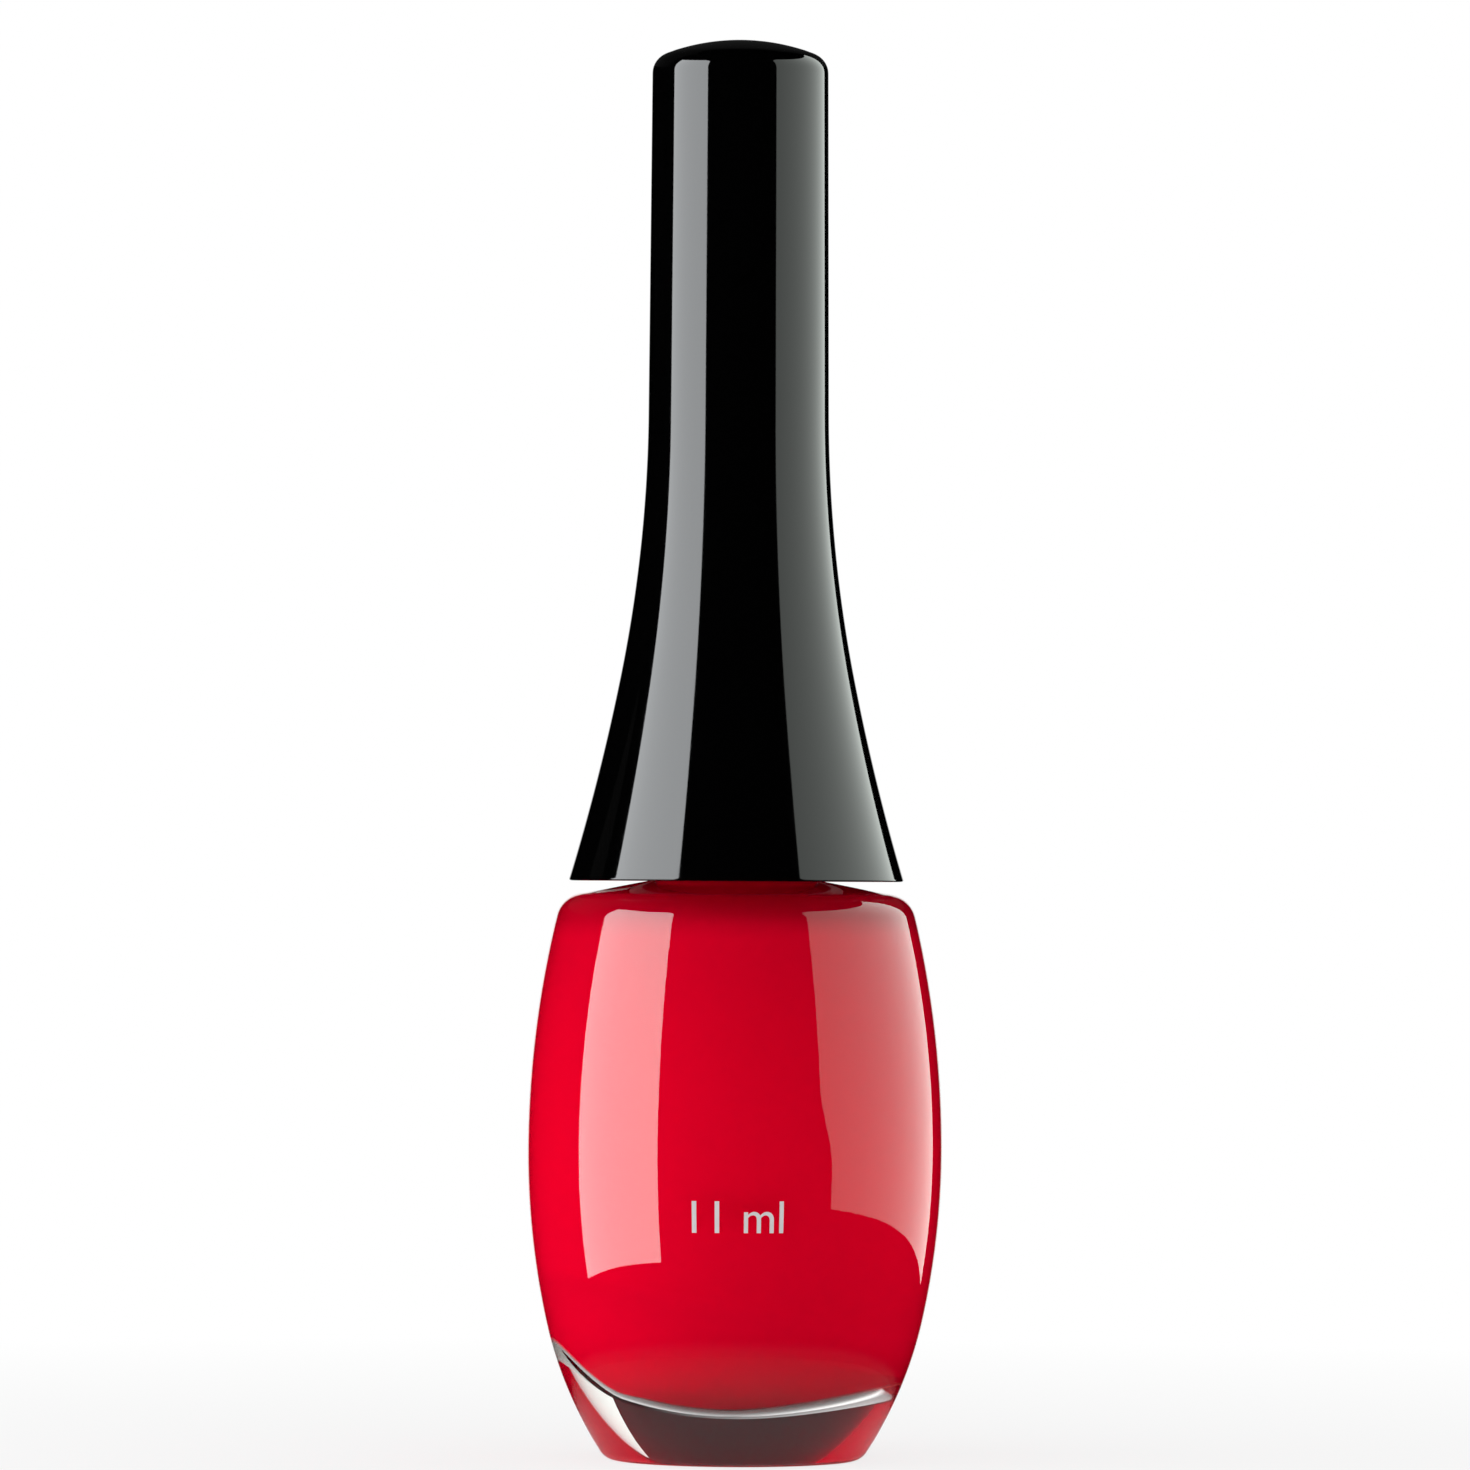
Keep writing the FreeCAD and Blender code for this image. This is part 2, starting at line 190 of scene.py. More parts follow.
def side_centre(radius):
    return belly_radius - radius


foot_angle = math.asin((belly_height - foot_side_height) / lower_side_radius)
foot_shift = lower_side_radius - foot_side_radius
foot_centre = (side_centre(lower_side_radius) + foot_shift * math.cos(foot_angle),
               belly_height - foot_shift * math.sin(foot_angle))


def side_radius(height, inset=0.0):
    """The bottle's radius at a height, this far inside the glass."""
    if height >= belly_height:
        centre, radius = (side_centre(upper_side_radius), belly_height), upper_side_radius
    elif height >= foot_side_height:
        centre, radius = (side_centre(lower_side_radius), belly_height), lower_side_radius
    else:
        centre, radius = foot_centre, foot_side_radius
    return centre[0] + math.sqrt((radius - inset) ** 2 - (height - centre[1]) ** 2)


def shoulder_corner(inset=0.0, drop=0.0):
    """Where the side meets the sloping shoulder, as (radius, height)."""
    height = shoulder_height
    for _ in range(20):
        radius = side_radius(height, inset)
        height = shoulder_height + (belly_radius - radius) * shoulder_rise - drop
    return radius, height


def steps(start, end, size):
    """Evenly spaced values strictly between start and end."""
    count = max(1, round(abs(end - start) / size))
    return [start + (end - start) * i / count for i in range(1, count)]


def side_points(start, end, inset=0.0, size=0.5):
    return [(side_radius(z, inset), z, 0) for z in steps(start, end, size)]


def softened(points, facets=8, guard=0.06):
    """Rounds each (radius, height, rounding) corner and sets a close point each side of it."""
    out = []
    for i, (r, z, rounding) in enumerate(points):
        if not rounding or i in (0, len(points) - 1):
            out.append((r, z))
            continue
        here = Vector((r, z))
        back = (Vector(points[i - 1][:2]) - here).normalized()
        ahead = (Vector(points[i + 1][:2]) - here).normalized()
        half = math.acos(max(-1, min(1, back.dot(ahead)))) / 2
        reach = rounding / math.tan(half)
        middle = here + (back + ahead).normalized() * (rounding / math.sin(half))
        start, end = here + back * reach - middle, here + ahead * reach - middle
        sweep = start.angle_signed(end)
        out.append(tuple(here + back * (reach + guard)))
        for k in range(facets + 1):
            turned = start.copy()
            turned.rotate(Matrix.Rotation(-sweep * k / facets, 2))
            out.append(tuple(middle + turned))
        out.append(tuple(here + ahead * (reach + guard)))
    return out


# ---------------------------------------------------------------- meshes


def new_piece(name, mesh_data, material, body, slot, *replaced, sharp=None):
    piece = bpy.data.objects.new(name, mesh_data)
    bpy.context.scene.collection.objects.link(piece)
    mesh_data.materials.append(material)
    mesh_data.polygons.foreach_set("use_smooth", [True] * len(mesh_data.polygons))
    if sharp is not None:
        mesh_data.set_sharp_from_angle(angle=math.radians(sharp))
    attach(piece, body)
    if replaced:
        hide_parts(*replaced)
    return piece


def lathed(name, outline, shape=None):
    """A mesh turned about Z from (radius, height) points; a point on the axis becomes a pole."""
    verts, rings = [], []
    for r, z in outline:
        if r < 1e-6:
            rings.append([len(verts)])
            verts.append((0, 0, z * MM))
            continue
        ring = []
        for i in range(AROUND):
            angle = TURN * i / AROUND
            radius, height = shape(r, z, angle) if shape else (r, z)
            ring.append(len(verts))
            verts.append((radius * math.cos(angle) * MM, radius * math.sin(angle) * MM, height * MM))
        rings.append(ring)
    data = bpy.data.meshes.new(name)
    data.from_pydata(verts, [], ring_faces(rings, AROUND))
    return outward(data)


def ring_faces(rings, around):
    """Faces between each ring of points and the next; a ring of one point is a pole."""
    faces = []
    for a, b in zip(rings, rings[1:]):
        for i in range(around):
            j = (i + 1) % around
            corners = [a[i % len(a)], a[j % len(a)], b[j % len(b)], b[i % len(b)]]
            faces.append(list(dict.fromkeys(corners)))
    return faces


def outward(data):
    made = bmesh.new()
    made.from_mesh(data)
    bmesh.ops.recalc_face_normals(made, faces=made.faces)
    made.to_mesh(data)
    made.free()
    return data


# ---------------------------------------------------------------- materials


def new_material(name):
    made = bpy.data.materials.new(name)
    made.use_nodes = True
    return made, made.node_tree, made.node_tree.nodes["Principled BSDF"]


def noise(tree, scale, detail=2.0, stretch=(1, 1, 1)):
    """Noise in the object's own metres; scale is in bumps per metre."""
    place = tree.nodes.new("ShaderNodeTexCoord")
    size = tree.nodes.new("ShaderNodeMapping")
    size.inputs["Scale"].default_value = stretch
    made = tree.nodes.new("ShaderNodeTexNoise")
    made.inputs["Scale"].default_value = scale
    made.inputs["Detail"].default_value = detail
    tree.links.new(place.outputs["Object"], size.inputs["Vector"])
    tree.links.new(size.outputs["Vector"], made.inputs["Vector"])
    return made.outputs["Fac"]


def ranged(tree, value, low_out, high_out, low_in=0.3, high_in=0.7):
    node = tree.nodes.new("ShaderNodeMapRange")
    node.inputs["From Min"].default_value = low_in
    node.inputs["From Max"].default_value = high_in
    node.inputs["To Min"].default_value = low_out
    node.inputs["To Max"].default_value = high_out
    tree.links.new(value, node.inputs["Value"])
    return node.outputs["Result"]


def bumped(tree, shader, height, distance, strength=1.0, normal=None):
    node = tree.nodes.new("ShaderNodeBump")
    node.inputs["Distance"].default_value = distance
    node.inputs["Strength"].default_value = strength
    tree.links.new(height, node.inputs["Height"])
    if normal:
        tree.links.new(normal, node.inputs["Normal"])
    tree.links.new(node.outputs["Normal"], shader.inputs["Normal"])
    return node.outputs["Normal"]


def tinted(tree, factor, dark, light):
    node = tree.nodes.new("ShaderNodeMix")
    node.data_type = "RGBA"
    node.inputs[6].default_value = (*dark, 1)
    node.inputs[7].default_value = (*light, 1)
    tree.links.new(factor, node.inputs["Factor"])
    return node.outputs[2]


def math_node(tree, operation, a, b):
    node = tree.nodes.new("ShaderNodeMath")
    node.operation = operation
    for socket, value in zip(node.inputs, (a, b)):
        if isinstance(value, (int, float)):
            socket.default_value = value
        else:
            tree.links.new(value, socket)
    return node.outputs["Value"]


def mixed(tree, factor, a, b):
    """a where factor is 0 and b where it is 1."""
    node = tree.nodes.new("ShaderNodeMix")
    tree.links.new(factor, node.inputs["Factor"])
    for socket, value in zip((node.inputs["A"], node.inputs["B"]), (a, b)):
        if isinstance(value, (int, float)):
            socket.default_value = value
        else:
            tree.links.new(value, socket)
    return node.outputs["Result"]


def reflected_ray(tree, ray):
    """1 for a ray that comes off a smooth surface, and 0 for any other."""
    return math_node(tree, "MULTIPLY", ray.outputs["Is Reflection Ray"], ray.outputs["Is Glossy Ray"])


def axes_of(tree, space="Object"):
    """X, Y and Z of a point in its object's own metres, or of a direction from the world's Generated."""
    place = tree.nodes.new("ShaderNodeTexCoord")
    axes = tree.nodes.new("ShaderNodeSeparateXYZ")
    tree.links.new(place.outputs[space], axes.inputs["Vector"])
    return axes


def glass_material():
    made, tree, shader = new_material("bottle_glass")
    shader.inputs["Base Color"].default_value = (1, 1, 1, 1)
    shader.inputs["Transmission Weight"].default_value = 1
    shader.inputs["IOR"].default_value = 1.5
    shader.inputs["Roughness"].default_value = 0.0
    slow = bumped(tree, shader, noise(tree, 120, 1.0), 0.00002, 0.25)
    bumped(tree, shader, noise(tree, 2600, 1.0), 0.000001, 0.25, slow)
    return made


def lacquer_material():
    """Lacquer seen through glass. Past the critical angle the glass mirrors instead of showing it; here
    the lacquer's colour turns to a grey metal mirror there, a painted reflection that fades out higher
    up.
    """
    made, tree, shader = new_material("red_lacquer")
    # This red is set brighter than the same lacquer's in the open air (wet_material): a lit copy of one
    # material, painted light
    shade = tinted(tree, noise(tree, 90, 3.0), (0.945, 0.0004, 0.026), (0.955, 0.0006, 0.030))
    edge_on = tree.nodes.new("ShaderNodeLayerWeight")
    edge_on.inputs["Blend"].default_value = 0.5
    axes = axes_of(tree)
    # painted reflection: where the lacquer is seen edge-on, low down, its colour turns grey and metallic
    mirror = ranged(tree, edge_on.outputs["Facing"], 0.0, 1.0, *mirror_facing)
    low_down = ranged(tree, axes.outputs["Z"], 1.0, 0.0, *mirror_fade_metres)
    mirror = math_node(tree, "MULTIPLY", mirror, low_down)
    mirrored = tree.nodes.new("ShaderNodeMix")
    mirrored.data_type = "RGBA"
    tree.links.new(mirror, mirrored.inputs["Factor"])
    tree.links.new(shade, mirrored.inputs[6])
    mirrored.inputs[7].default_value = (*painted_mirror_grey, 1)
    tree.links.new(mirrored.outputs[2], shader.inputs["Base Color"])
    tree.links.new(mirror, shader.inputs["Metallic"])
    tree.links.new(ranged(tree, mirror, 0.25, 0.03, 0, 1), shader.inputs["Roughness"])
    shader.inputs["Specular IOR Level"].default_value = 0.0
    return made


def wet_material(name, mottle, roughness, ior, ripple, strength):
    """Lacquer in the open air. Mottle and ripple are in bumps per metre."""
    made, tree, shader = new_material(name)
    shade = tinted(tree, noise(tree, mottle, 3.0), (0.66, 0.0004, 0.012), (0.70, 0.0006, 0.014))
    tree.links.new(shade, shader.inputs["Base Color"])
    shader.inputs["Roughness"].default_value = roughness
    shader.inputs["IOR"].default_value = ior
    bumped(tree, shader, noise(tree, ripple, 2.0), 0.00002, strength)
    return made


def gloss_black_material():
    made, tree, shader = new_material("gloss_black")
    shader.inputs["Base Color"].default_value = (0.0006, 0.0006, 0.0007, 1)
    shader.inputs["IOR"].default_value = 1.5
    rough = ranged(tree, noise(tree, 900, 3.0, (1, 1, 0.15)), 0.035, 0.06)
    tree.links.new(rough, shader.inputs["Roughness"])
    bumped(tree, shader, noise(tree, 160, 1.0), 0.000012, 0.25)
    return made


def moulded_material(name, dark, light, rough_low, rough_high, grain=5000, depth=0.000006):
    made, tree, shader = new_material(name)
    shade = tinted(tree, noise(tree, grain / 8, 3.0), dark, light)
    tree.links.new(shade, shader.inputs["Base Color"])
    rough = ranged(tree, noise(tree, grain / 4, 3.0), rough_low, rough_high)
    tree.links.new(rough, shader.inputs["Roughness"])
    bumped(tree, shader, noise(tree, grain, 2.0), depth, 0.5)
    return made


def steel_material():
    made, tree, shader = new_material("steel")
    shader.inputs["Base Color"].default_value = (0.56, 0.56, 0.58, 1)
    shader.inputs["Metallic"].default_value = 1.0
    rough = ranged(tree, noise(tree, 3000, 3.0), 0.12, 0.24)
    tree.links.new(rough, shader.inputs["Roughness"])
    return made


glass = glass_material()
lacquer = lacquer_material()
liquid = wet_material("lacquer_surface", 90, 0.06, 1.47, 700, 0.3)
gloss_black = gloss_black_material()
satin_black = moulded_material("satin_black", (0.012, 0.012, 0.012), (0.02, 0.02, 0.02), 0.3, 0.45)
stem_black = moulded_material("stem_black", (0.012, 0.012, 0.012), (0.02, 0.02, 0.02), 0.25, 0.4)
liner_white = moulded_material("liner_white", (0.74, 0.74, 0.72), (0.8, 0.8, 0.78), 0.4, 0.55)
label_dark = moulded_material("label_film", (0.018, 0.018, 0.02), (0.03, 0.03, 0.032), 0.45, 0.6, 2500)
steel = steel_material()
wet_lacquer = wet_material("wet_lacquer", 600, 0.07, 1.48, 900, 0.4)
nylon_black = moulded_material("nylon_black", (0.01, 0.01, 0.01), (0.02, 0.02, 0.02), 0.25, 0.4)
ink_white = moulded_material("white_ink", (0.78, 0.76, 0.78), (0.86, 0.84, 0.86), 0.35, 0.5,
                             9000, 0.000003)


# ---------------------------------------------------------------- glass bottle


def thread_lift(angle, height):
    """How far the neck thread stands out of the neck at an angle and height."""
    half = thread_root_width / 2
    crest = thread_crest_width / 2
    best = 0.0
    for lap in range(2):
        along = angle + TURN * lap
        total = TURN * thread_turns
        if along > total:
            continue
        miss = abs(height - (neck_root_height + thread_start + thread_pitch * along / TURN))
        share = max(0.0, min(1.0, (half - miss) / (half - crest)))
        fade = min(1.0, along / 0.5, (total - along) / 0.5)
        best = max(best, smooth(share) * max(0.0, fade) ** 0.5)
    return best * thread_height


def tilted(r, z, angle):
    """A point of the cavity's floor or lower wall, raised on the left (-X) and lowered on the right."""
    lift = -math.cos(angle)
    if lift > 0:
        share = (max(0.0, r - bowl_tilt_start) / (bowl_tilt_radius - bowl_tilt_start)) ** 1.5
    else:
        share = (r / bowl_tilt_radius) ** 3
    fade = smooth((bowl_tilt_top - z) / bowl_tilt_fade)
    return r, z + bowl_tilt * lift * min(bowl_tilt_limit, share) * fade


def smooth(share):
    share = max(0.0, min(1.0, share))
    return share * share * (3 - 2 * share)


def bowl_points(inset=0.0):
    """The dished floor from the axis out to the corner, the corner itself, and the height above it."""
    radius = bowl_radius + inset
    centre = bowl_floor + bowl_radius
    corner = (belly_radius - glass_wall, 0)
    for _ in range(20):
        height = centre - math.sqrt(radius ** 2 - corner[0] ** 2)
        corner = (side_radius(height, glass_wall - inset), height)
    dish = [(r, centre - math.sqrt(radius ** 2 - r ** 2), 0) for r in steps(0, corner[0] - 1.4, 0.4)]
    return [(0, centre - radius, 0)] + dish + [(*corner, bowl_corner_radius)], corner[1] + 1.6


def bottle_outline():
    foot = (side_radius(0), 0, 1.2)
    recess_edge = recess_radius + recess_depth
    edge = (*shoulder_corner(), 2.0)
    inner_edge = shoulder_corner(glass_wall, shoulder_thickness)
    ceiling = shoulder_height + (belly_radius - neck_bore_radius) * shoulder_rise - shoulder_thickness
    bowl, above_bowl = bowl_points()
    return softened(
        [(0, recess_depth, 0), (recess_radius, recess_depth, 0.12), (recess_edge, 0, 0.15)]
        + [(r, 0, 0) for r in steps(recess_edge + 0.2, foot[0] - 1.0, 0.4)] + [foot]
        + side_points(0.9, edge[1] - 1.4) + [edge]
        + [(neck_radius, neck_root_height, 0.5)]
        + [(neck_radius, z, 0) for z in steps(neck_root_height + 0.7, lip_height - 0.8, 0.08)]
        + [(neck_radius, lip_height, 0.6), (neck_bore_radius, lip_height, 0.15)]
        + [(neck_bore_radius, ceiling, 1.5)]
        + [(*inner_edge, cavity_corner_radius)]
        + side_points(inner_edge[1] - 2.6, above_bowl, glass_wall) + bowl[::-1], 16)


def bottle_shape(r, z, angle):
    if abs(r - neck_radius) < 1e-6 and neck_root_height + 1 < z < lip_height - 1:
        return r + thread_lift(angle, z), z
    if 2.0 < z < bowl_tilt_top and r < side_radius(z) - glass_wall / 2:
        return tilted(r, z, angle)
    if z == 0:
        return r, knurl_depth * max(0.0, math.cos(angle * knurl_count)) * smooth((r - 7.7) / 0.4)
    return r, z


new_piece("glass_bottle_clear", lathed("glass_bottle_clear", bottle_outline(), bottle_shape),
          glass, "bottle", "glass", "glass_bottle")


# ---------------------------------------------------------------- lacquer


def lacquer_outline():
    inset = glass_wall - wetting
    bowl, above_bowl = bowl_points(wetting)
    drop = shoulder_thickness - wetting
    bore = neck_bore_radius + wetting
    inner_edge = shoulder_corner(inset, drop)
    ceiling = shoulder_height + (belly_radius - bore) * shoulder_rise - drop
    meniscus = [(bore - 0.9 * (1 - math.sin(a)), fill_height + 0.35 * (1 - math.cos(a)), 0)
                for a in (math.pi / 2 * k / 6 for k in range(6, -1, -1))]
    return softened(
        bowl + side_points(above_bowl, inner_edge[1] - 2.6, inset)
        + [(*inner_edge, cavity_corner_radius), (bore, ceiling, 1.5), (bore, fill_height - 0.6, 0)]
        + meniscus + [(0, fill_height, 0)], 16)


fill = new_piece("red_lacquer_fill", lathed("red_lacquer_fill", lacquer_outline(), tilted),
                 lacquer, "bottle", "lacquer", "polish_fill")
fill.data.materials.append(liquid)
for face in fill.data.polygons:
    if face.center.z > (fill_height - 0.01) * MM:
        face.material_index = 1


# ---------------------------------------------------------------- label


low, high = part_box("base_label")
label_radius = high.x / MM
label_low, label_high = low.z / MM, high.z / MM + wetting
label_rounding = 0.03
label_path = softened([(0, label_low, 0), (label_radius, label_low, label_rounding),
                       (label_radius, label_high, label_rounding), (0, label_high, 0)], 4, 0.02)
new_piece("base_label_film", lathed("base_label_film", label_path),
          label_dark, "bottle", "label_paper", "base_label")


# ---------------------------------------------------------------- overcap


flare_centre = (cap_side_radius + cap_flare_radius * math.cos(cap_draft),
                cap_flare_height + cap_flare_radius * math.sin(cap_draft))
skirt_shift = cap_skirt_radius - cap_flare_radius
skirt_centre = (flare_centre[0] + skirt_shift * math.cos(cap_flare_angle),
                flare_centre[1] + skirt_shift * math.sin(cap_flare_angle))


def cap_radius(height, inset=0.0):
    """The overcap's radius at a height, this far inside its surface."""
    if height > cap_flare_height:
        return cap_side_radius - inset - (height - cap_flare_height) * math.tan(cap_draft)
    angle = math.asin((flare_centre[1] - height) / (cap_flare_radius + inset))
    if angle <= cap_flare_angle:
        return flare_centre[0] - (cap_flare_radius + inset) * math.cos(angle)
    angle = math.asin((skirt_centre[1] - height) / (cap_skirt_radius + inset))
    return skirt_centre[0] - (cap_skirt_radius + inset) * math.cos(angle)


def dome_points(inset, facets=14):
    """From the edge of the domed top to its middle."""
    radius = cap_dome_radius - inset
    centre = cap_top_height - cap_dome_radius
    height = centre + radius
    for _ in range(20):
        edge = cap_radius(height, cap_wall if inset else 0)
        height = centre + math.sqrt(radius ** 2 - edge ** 2)
    spread = math.asin(edge / radius)
    dome = [(radius * math.sin(spread * k / facets), centre + radius * math.cos(spread * k / facets), 0)
            for k in range(facets - 3, -1, -1)]
    return (edge, height), dome


edge, dome = dome_points(0)
inner_edge, inner_dome = dome_points(cap_roof)
rim = cap_rim_height
shell_path = softened(
    inner_dome[::-1] + [(*inner_edge, 0.3)]
    + [(cap_radius(z, cap_wall), z, 0) for z in steps(inner_edge[1] - 0.6, rim + 0.3, 0.8)]
    + [(cap_radius(rim, cap_wall), rim, 0.1), (cap_radius(rim), rim, 0.12)]
    + [(cap_radius(z), z, 0) for z in steps(rim + 0.3, edge[1] - 1.8, 0.5)]
    + [(*edge, 1.4)] + dome)
new_piece("overcap_gloss", lathed("overcap_gloss", shell_path),
          gloss_black, "cap", "overcap_black", "overcap")


plate_faces = ((0, 1, 3, 2), (4, 6, 7, 5), (0, 2, 6, 4), (1, 5, 7, 3), (0, 4, 5, 1), (2, 3, 7, 6))


def overcap_ribs():
    """Two rows of plates that stiffen the overcap and hold it on the closure."""
    data = bpy.data.meshes.new("overcap_ribs")
    verts, faces = [], []
    for inner, low_z, high_z in rib_rows:
        for n in range(rib_count):
            turn = TURN * n / rib_count
            first = len(verts)
            for z in (low_z, high_z):
                for r in (inner, cap_radius(z, cap_wall) + rib_bite):
                    for y in (-rib_thickness / 2, rib_thickness / 2):
                        verts.append(((r * math.cos(turn) - y * math.sin(turn)) * MM,
                                      (r * math.sin(turn) + y * math.cos(turn)) * MM, z * MM))
            faces += [[first + corner for corner in face] for face in plate_faces]
    data.from_pydata(verts, [], faces)
    piece = new_piece("overcap_ribs", outward(data), gloss_black, "cap", "overcap_black", sharp=30)
    edge_round = piece.modifiers.new("edge_round", "BEVEL")
    edge_round.width = 0.1 * MM
    edge_round.segments = 2


overcap_ribs()


# ---------------------------------------------------------------- wet brush


def tuft_reach(z):
    """Half the tuft's width at a height: it swells from the stem's tip and narrows to the end."""
    if z > tuft_root_height:
        return tuft_root_radius
    if z > tuft_belly_height:
        share = (tuft_root_height - z) / (tuft_root_height - tuft_belly_height)
        return tuft_root_radius + (tuft_belly_radius - tuft_root_radius) * smooth(share)
    share = (tuft_belly_height - z) / (tuft_belly_height - tuft_tip_height)
    return tuft_belly_radius - (tuft_belly_radius - tuft_tip_radius) * share ** 2


def tuft_depth(z):
    return tuft_half_thickness * (1 - math.exp(-tuft_reach(z) / 0.75))


def filaments(count=filament_count, sides=filament_sides, knots=filament_knots):
    """Nylon filaments, each with its own length and its own height where the lacquer film starts."""
    rng = random.Random(filament_seed)
    verts, faces, wet = [], [], []
    for _ in range(count):
        spread = math.sqrt(rng.random())
        around = rng.random() * TURN
        film = rng.uniform(*filament_film_heights)
        thick = rng.uniform(*filament_radii)
        end = tuft_tip_height + 0.05 + 2.1 * spread ** 3 + rng.uniform(0, 0.35)
        sway = [rng.uniform(-0.05, 0.05) for _ in range(4)]
        first = len(verts)
        for k in range(knots + 1):
            z = filament_top_height + (end - filament_top_height) * k / knots
            share = k / knots
            drift = math.sin(share * math.pi)
            u = spread * math.cos(around) + sway[0] * drift + sway[1] * math.sin(share * TURN)
            v = spread * math.sin(around) + sway[2] * drift + sway[3] * math.sin(share * TURN)
            size = thick * (1 - 0.6 * smooth((share - 0.7) / 0.3))
            x, y = u * (tuft_reach(z) - thick), v * (tuft_depth(z) - thick)
            for side in range(sides):
                angle = TURN * side / sides
                across, deep = x + size * math.cos(angle), y + size * math.sin(angle)
                verts.append((across * MM, deep * MM, z * MM))
        for k in range(knots):
            z = filament_top_height + (end - filament_top_height) * (k + 0.5) / knots
            for side in range(sides):
                a, b = first + k * sides + side, first + k * sides + (side + 1) % sides
                faces.append((a, b, b + sides, a + sides))
                wet.append(z < film)
        faces.append([first + side for side in reversed(range(sides))])
        faces.append([first + knots * sides + side for side in range(sides)])
        wet += [False, True]
    data = bpy.data.meshes.new("bristle_filaments")
    data.from_pydata(verts, [], faces)
    return outward(data), wet


def wet_core():
    """The lacquer that the tuft holds: a fluted body between the filaments, with a bead at its end."""
    outline = [(0, wet_core_top)]
    outline += [(1, z) for z in steps(wet_core_top, tuft_tip_height + 0.6, 0.25)]
    outline += [(0, tuft_tip_height + 0.05)]
    verts, rings = [], []
    for r, z in outline:
        if r == 0:
            rings.append([len(verts)])
            verts.append((0, 0, z * MM))
            continue
        start = smooth((wet_core_top - z) / 2.2)
        close = math.sqrt(max(0.05, 1 - (max(0.0, tuft_tip_height + 1.5 - z) / 1.5) ** 2))
        ring = []
        for i in range(core_facets):
            angle = TURN * i / core_facets
            flute = 0.05 * (0.5 + 0.5 * math.cos(core_flutes * angle + 0.12 * z))
            groove = 1 - flute - 0.03 * math.cos(5 * angle + 0.6 * z)
            share = 0.95 * start * close * groove
            ring.append(len(verts))
            verts.append((tuft_reach(z) * share * math.cos(angle) * MM,
                          tuft_depth(z) * share * math.sin(angle) * MM, z * MM))
        rings.append(ring)
    data = bpy.data.meshes.new("wet_core")
    data.from_pydata(verts, [], ring_faces(rings, core_facets))
    return outward(data)


def stem_film():
    """Lacquer that clings to the lower stem, with an uneven upper edge."""
    outside = stem_radius + 0.05
    thick = [(stem_radius - 0.05, 37.0), (outside, wet_film_top)]
    thick += [(outside, z) for z in steps(wet_film_top, stem_tip_height + 0.9, 0.35)]
    thick += [(outside, stem_tip_height + 0.6), (stem_radius - 0.1, stem_tip_height + 0.05),
              (tuft_root_radius + 0.1, stem_tip_height - 0.06)]

    def shape(r, z, angle):
        runs = 0.5 * math.sin(2 * angle + 0.8) + 0.3 * math.sin(5 * angle) + 0.2 * math.sin(9 * angle + 2)
        bulge = 1 + math.sin(3 * angle + 0.55 * z)
        swell = 0.03 * bulge * (1 + math.sin(0.9 * z + 1.7 * math.sin(angle)))
        top = smooth((z - 27) / 10)
        return (r + swell * (1 - top) if r > stem_radius else r), z + 1.6 * runs * top

    return lathed("stem_film", thick, shape)


filament_mesh, filament_wet = filaments()
tuft = new_piece("bristle_filaments", filament_mesh, nylon_black, "bristles", "bristle_black")
tuft.data.materials.append(wet_lacquer)
for face, is_wet in zip(tuft.data.polygons, filament_wet):
    face.material_index = int(is_wet)
core = new_piece("bristle_lacquer", wet_core(), wet_lacquer, "bristles", "lacquer")
for piece in (tuft, core):
    piece.parent = None
    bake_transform(piece)
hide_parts("bristle_tuft")
new_piece("stem_lacquer_film", stem_film(), wet_lacquer, "brush", "lacquer")


# ---------------------------------------------------------------- print


def volume_mark():
    """The volume in plain white figures, bent round the glass."""
    curve = bpy.data.curves.new("volume_mark", "FONT")
    curve.body = mark_text
    curve.size = mark_size * MM
    curve.align_x = "CENTER"
    curve.extrude = mark_depth * MM
    curve.resolution_u = 6
    flat = bpy.data.objects.new("volume_mark_flat", curve)
    bpy.context.scene.collection.objects.link(flat)
    bpy.context.view_layer.update()
    data = bpy.data.meshes.new_from_object(flat.evaluated_get(bpy.context.evaluated_depsgraph_get()))
    bpy.data.objects.remove(flat)
    made = bmesh.new()
    made.from_mesh(data)
    for _ in range(3):
        long_edges = [e for e in made.edges if e.calc_length() > 0.35 * MM]
        bmesh.ops.subdivide_edges(made, edges=long_edges, cuts=1)
        bmesh.ops.triangulate(made, faces=[f for f in made.faces if len(f.verts) > 4])
    for v in made.verts:
        height = mark_height + v.co.y / MM
        out = side_radius(height) + v.co.z / MM - mark_sink
        around = v.co.x / MM / belly_radius
        v.co = Vector((out * math.sin(around), -out * math.cos(around), height)) * MM
    made.to_mesh(data)
    made.free()
    return data


new_piece("volume_mark", outward(volume_mark()), ink_white, "bottle", "label_paper", sharp=40)


# ---------------------------------------------------------------- CAD pieces that stay


for node, material in {"inner_cap": satin_black, "brush_stem": stem_black, "sealing_liner": liner_white,
                       "tuft_anchor": steel, "mixing_ball_1": steel, "mixing_ball_2": steel,
                       "bristle_root": stem_black}.items():
    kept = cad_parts[node]
    for place in kept.material_slots:
        place.material = material


# ---------------------------------------------------------------- studio


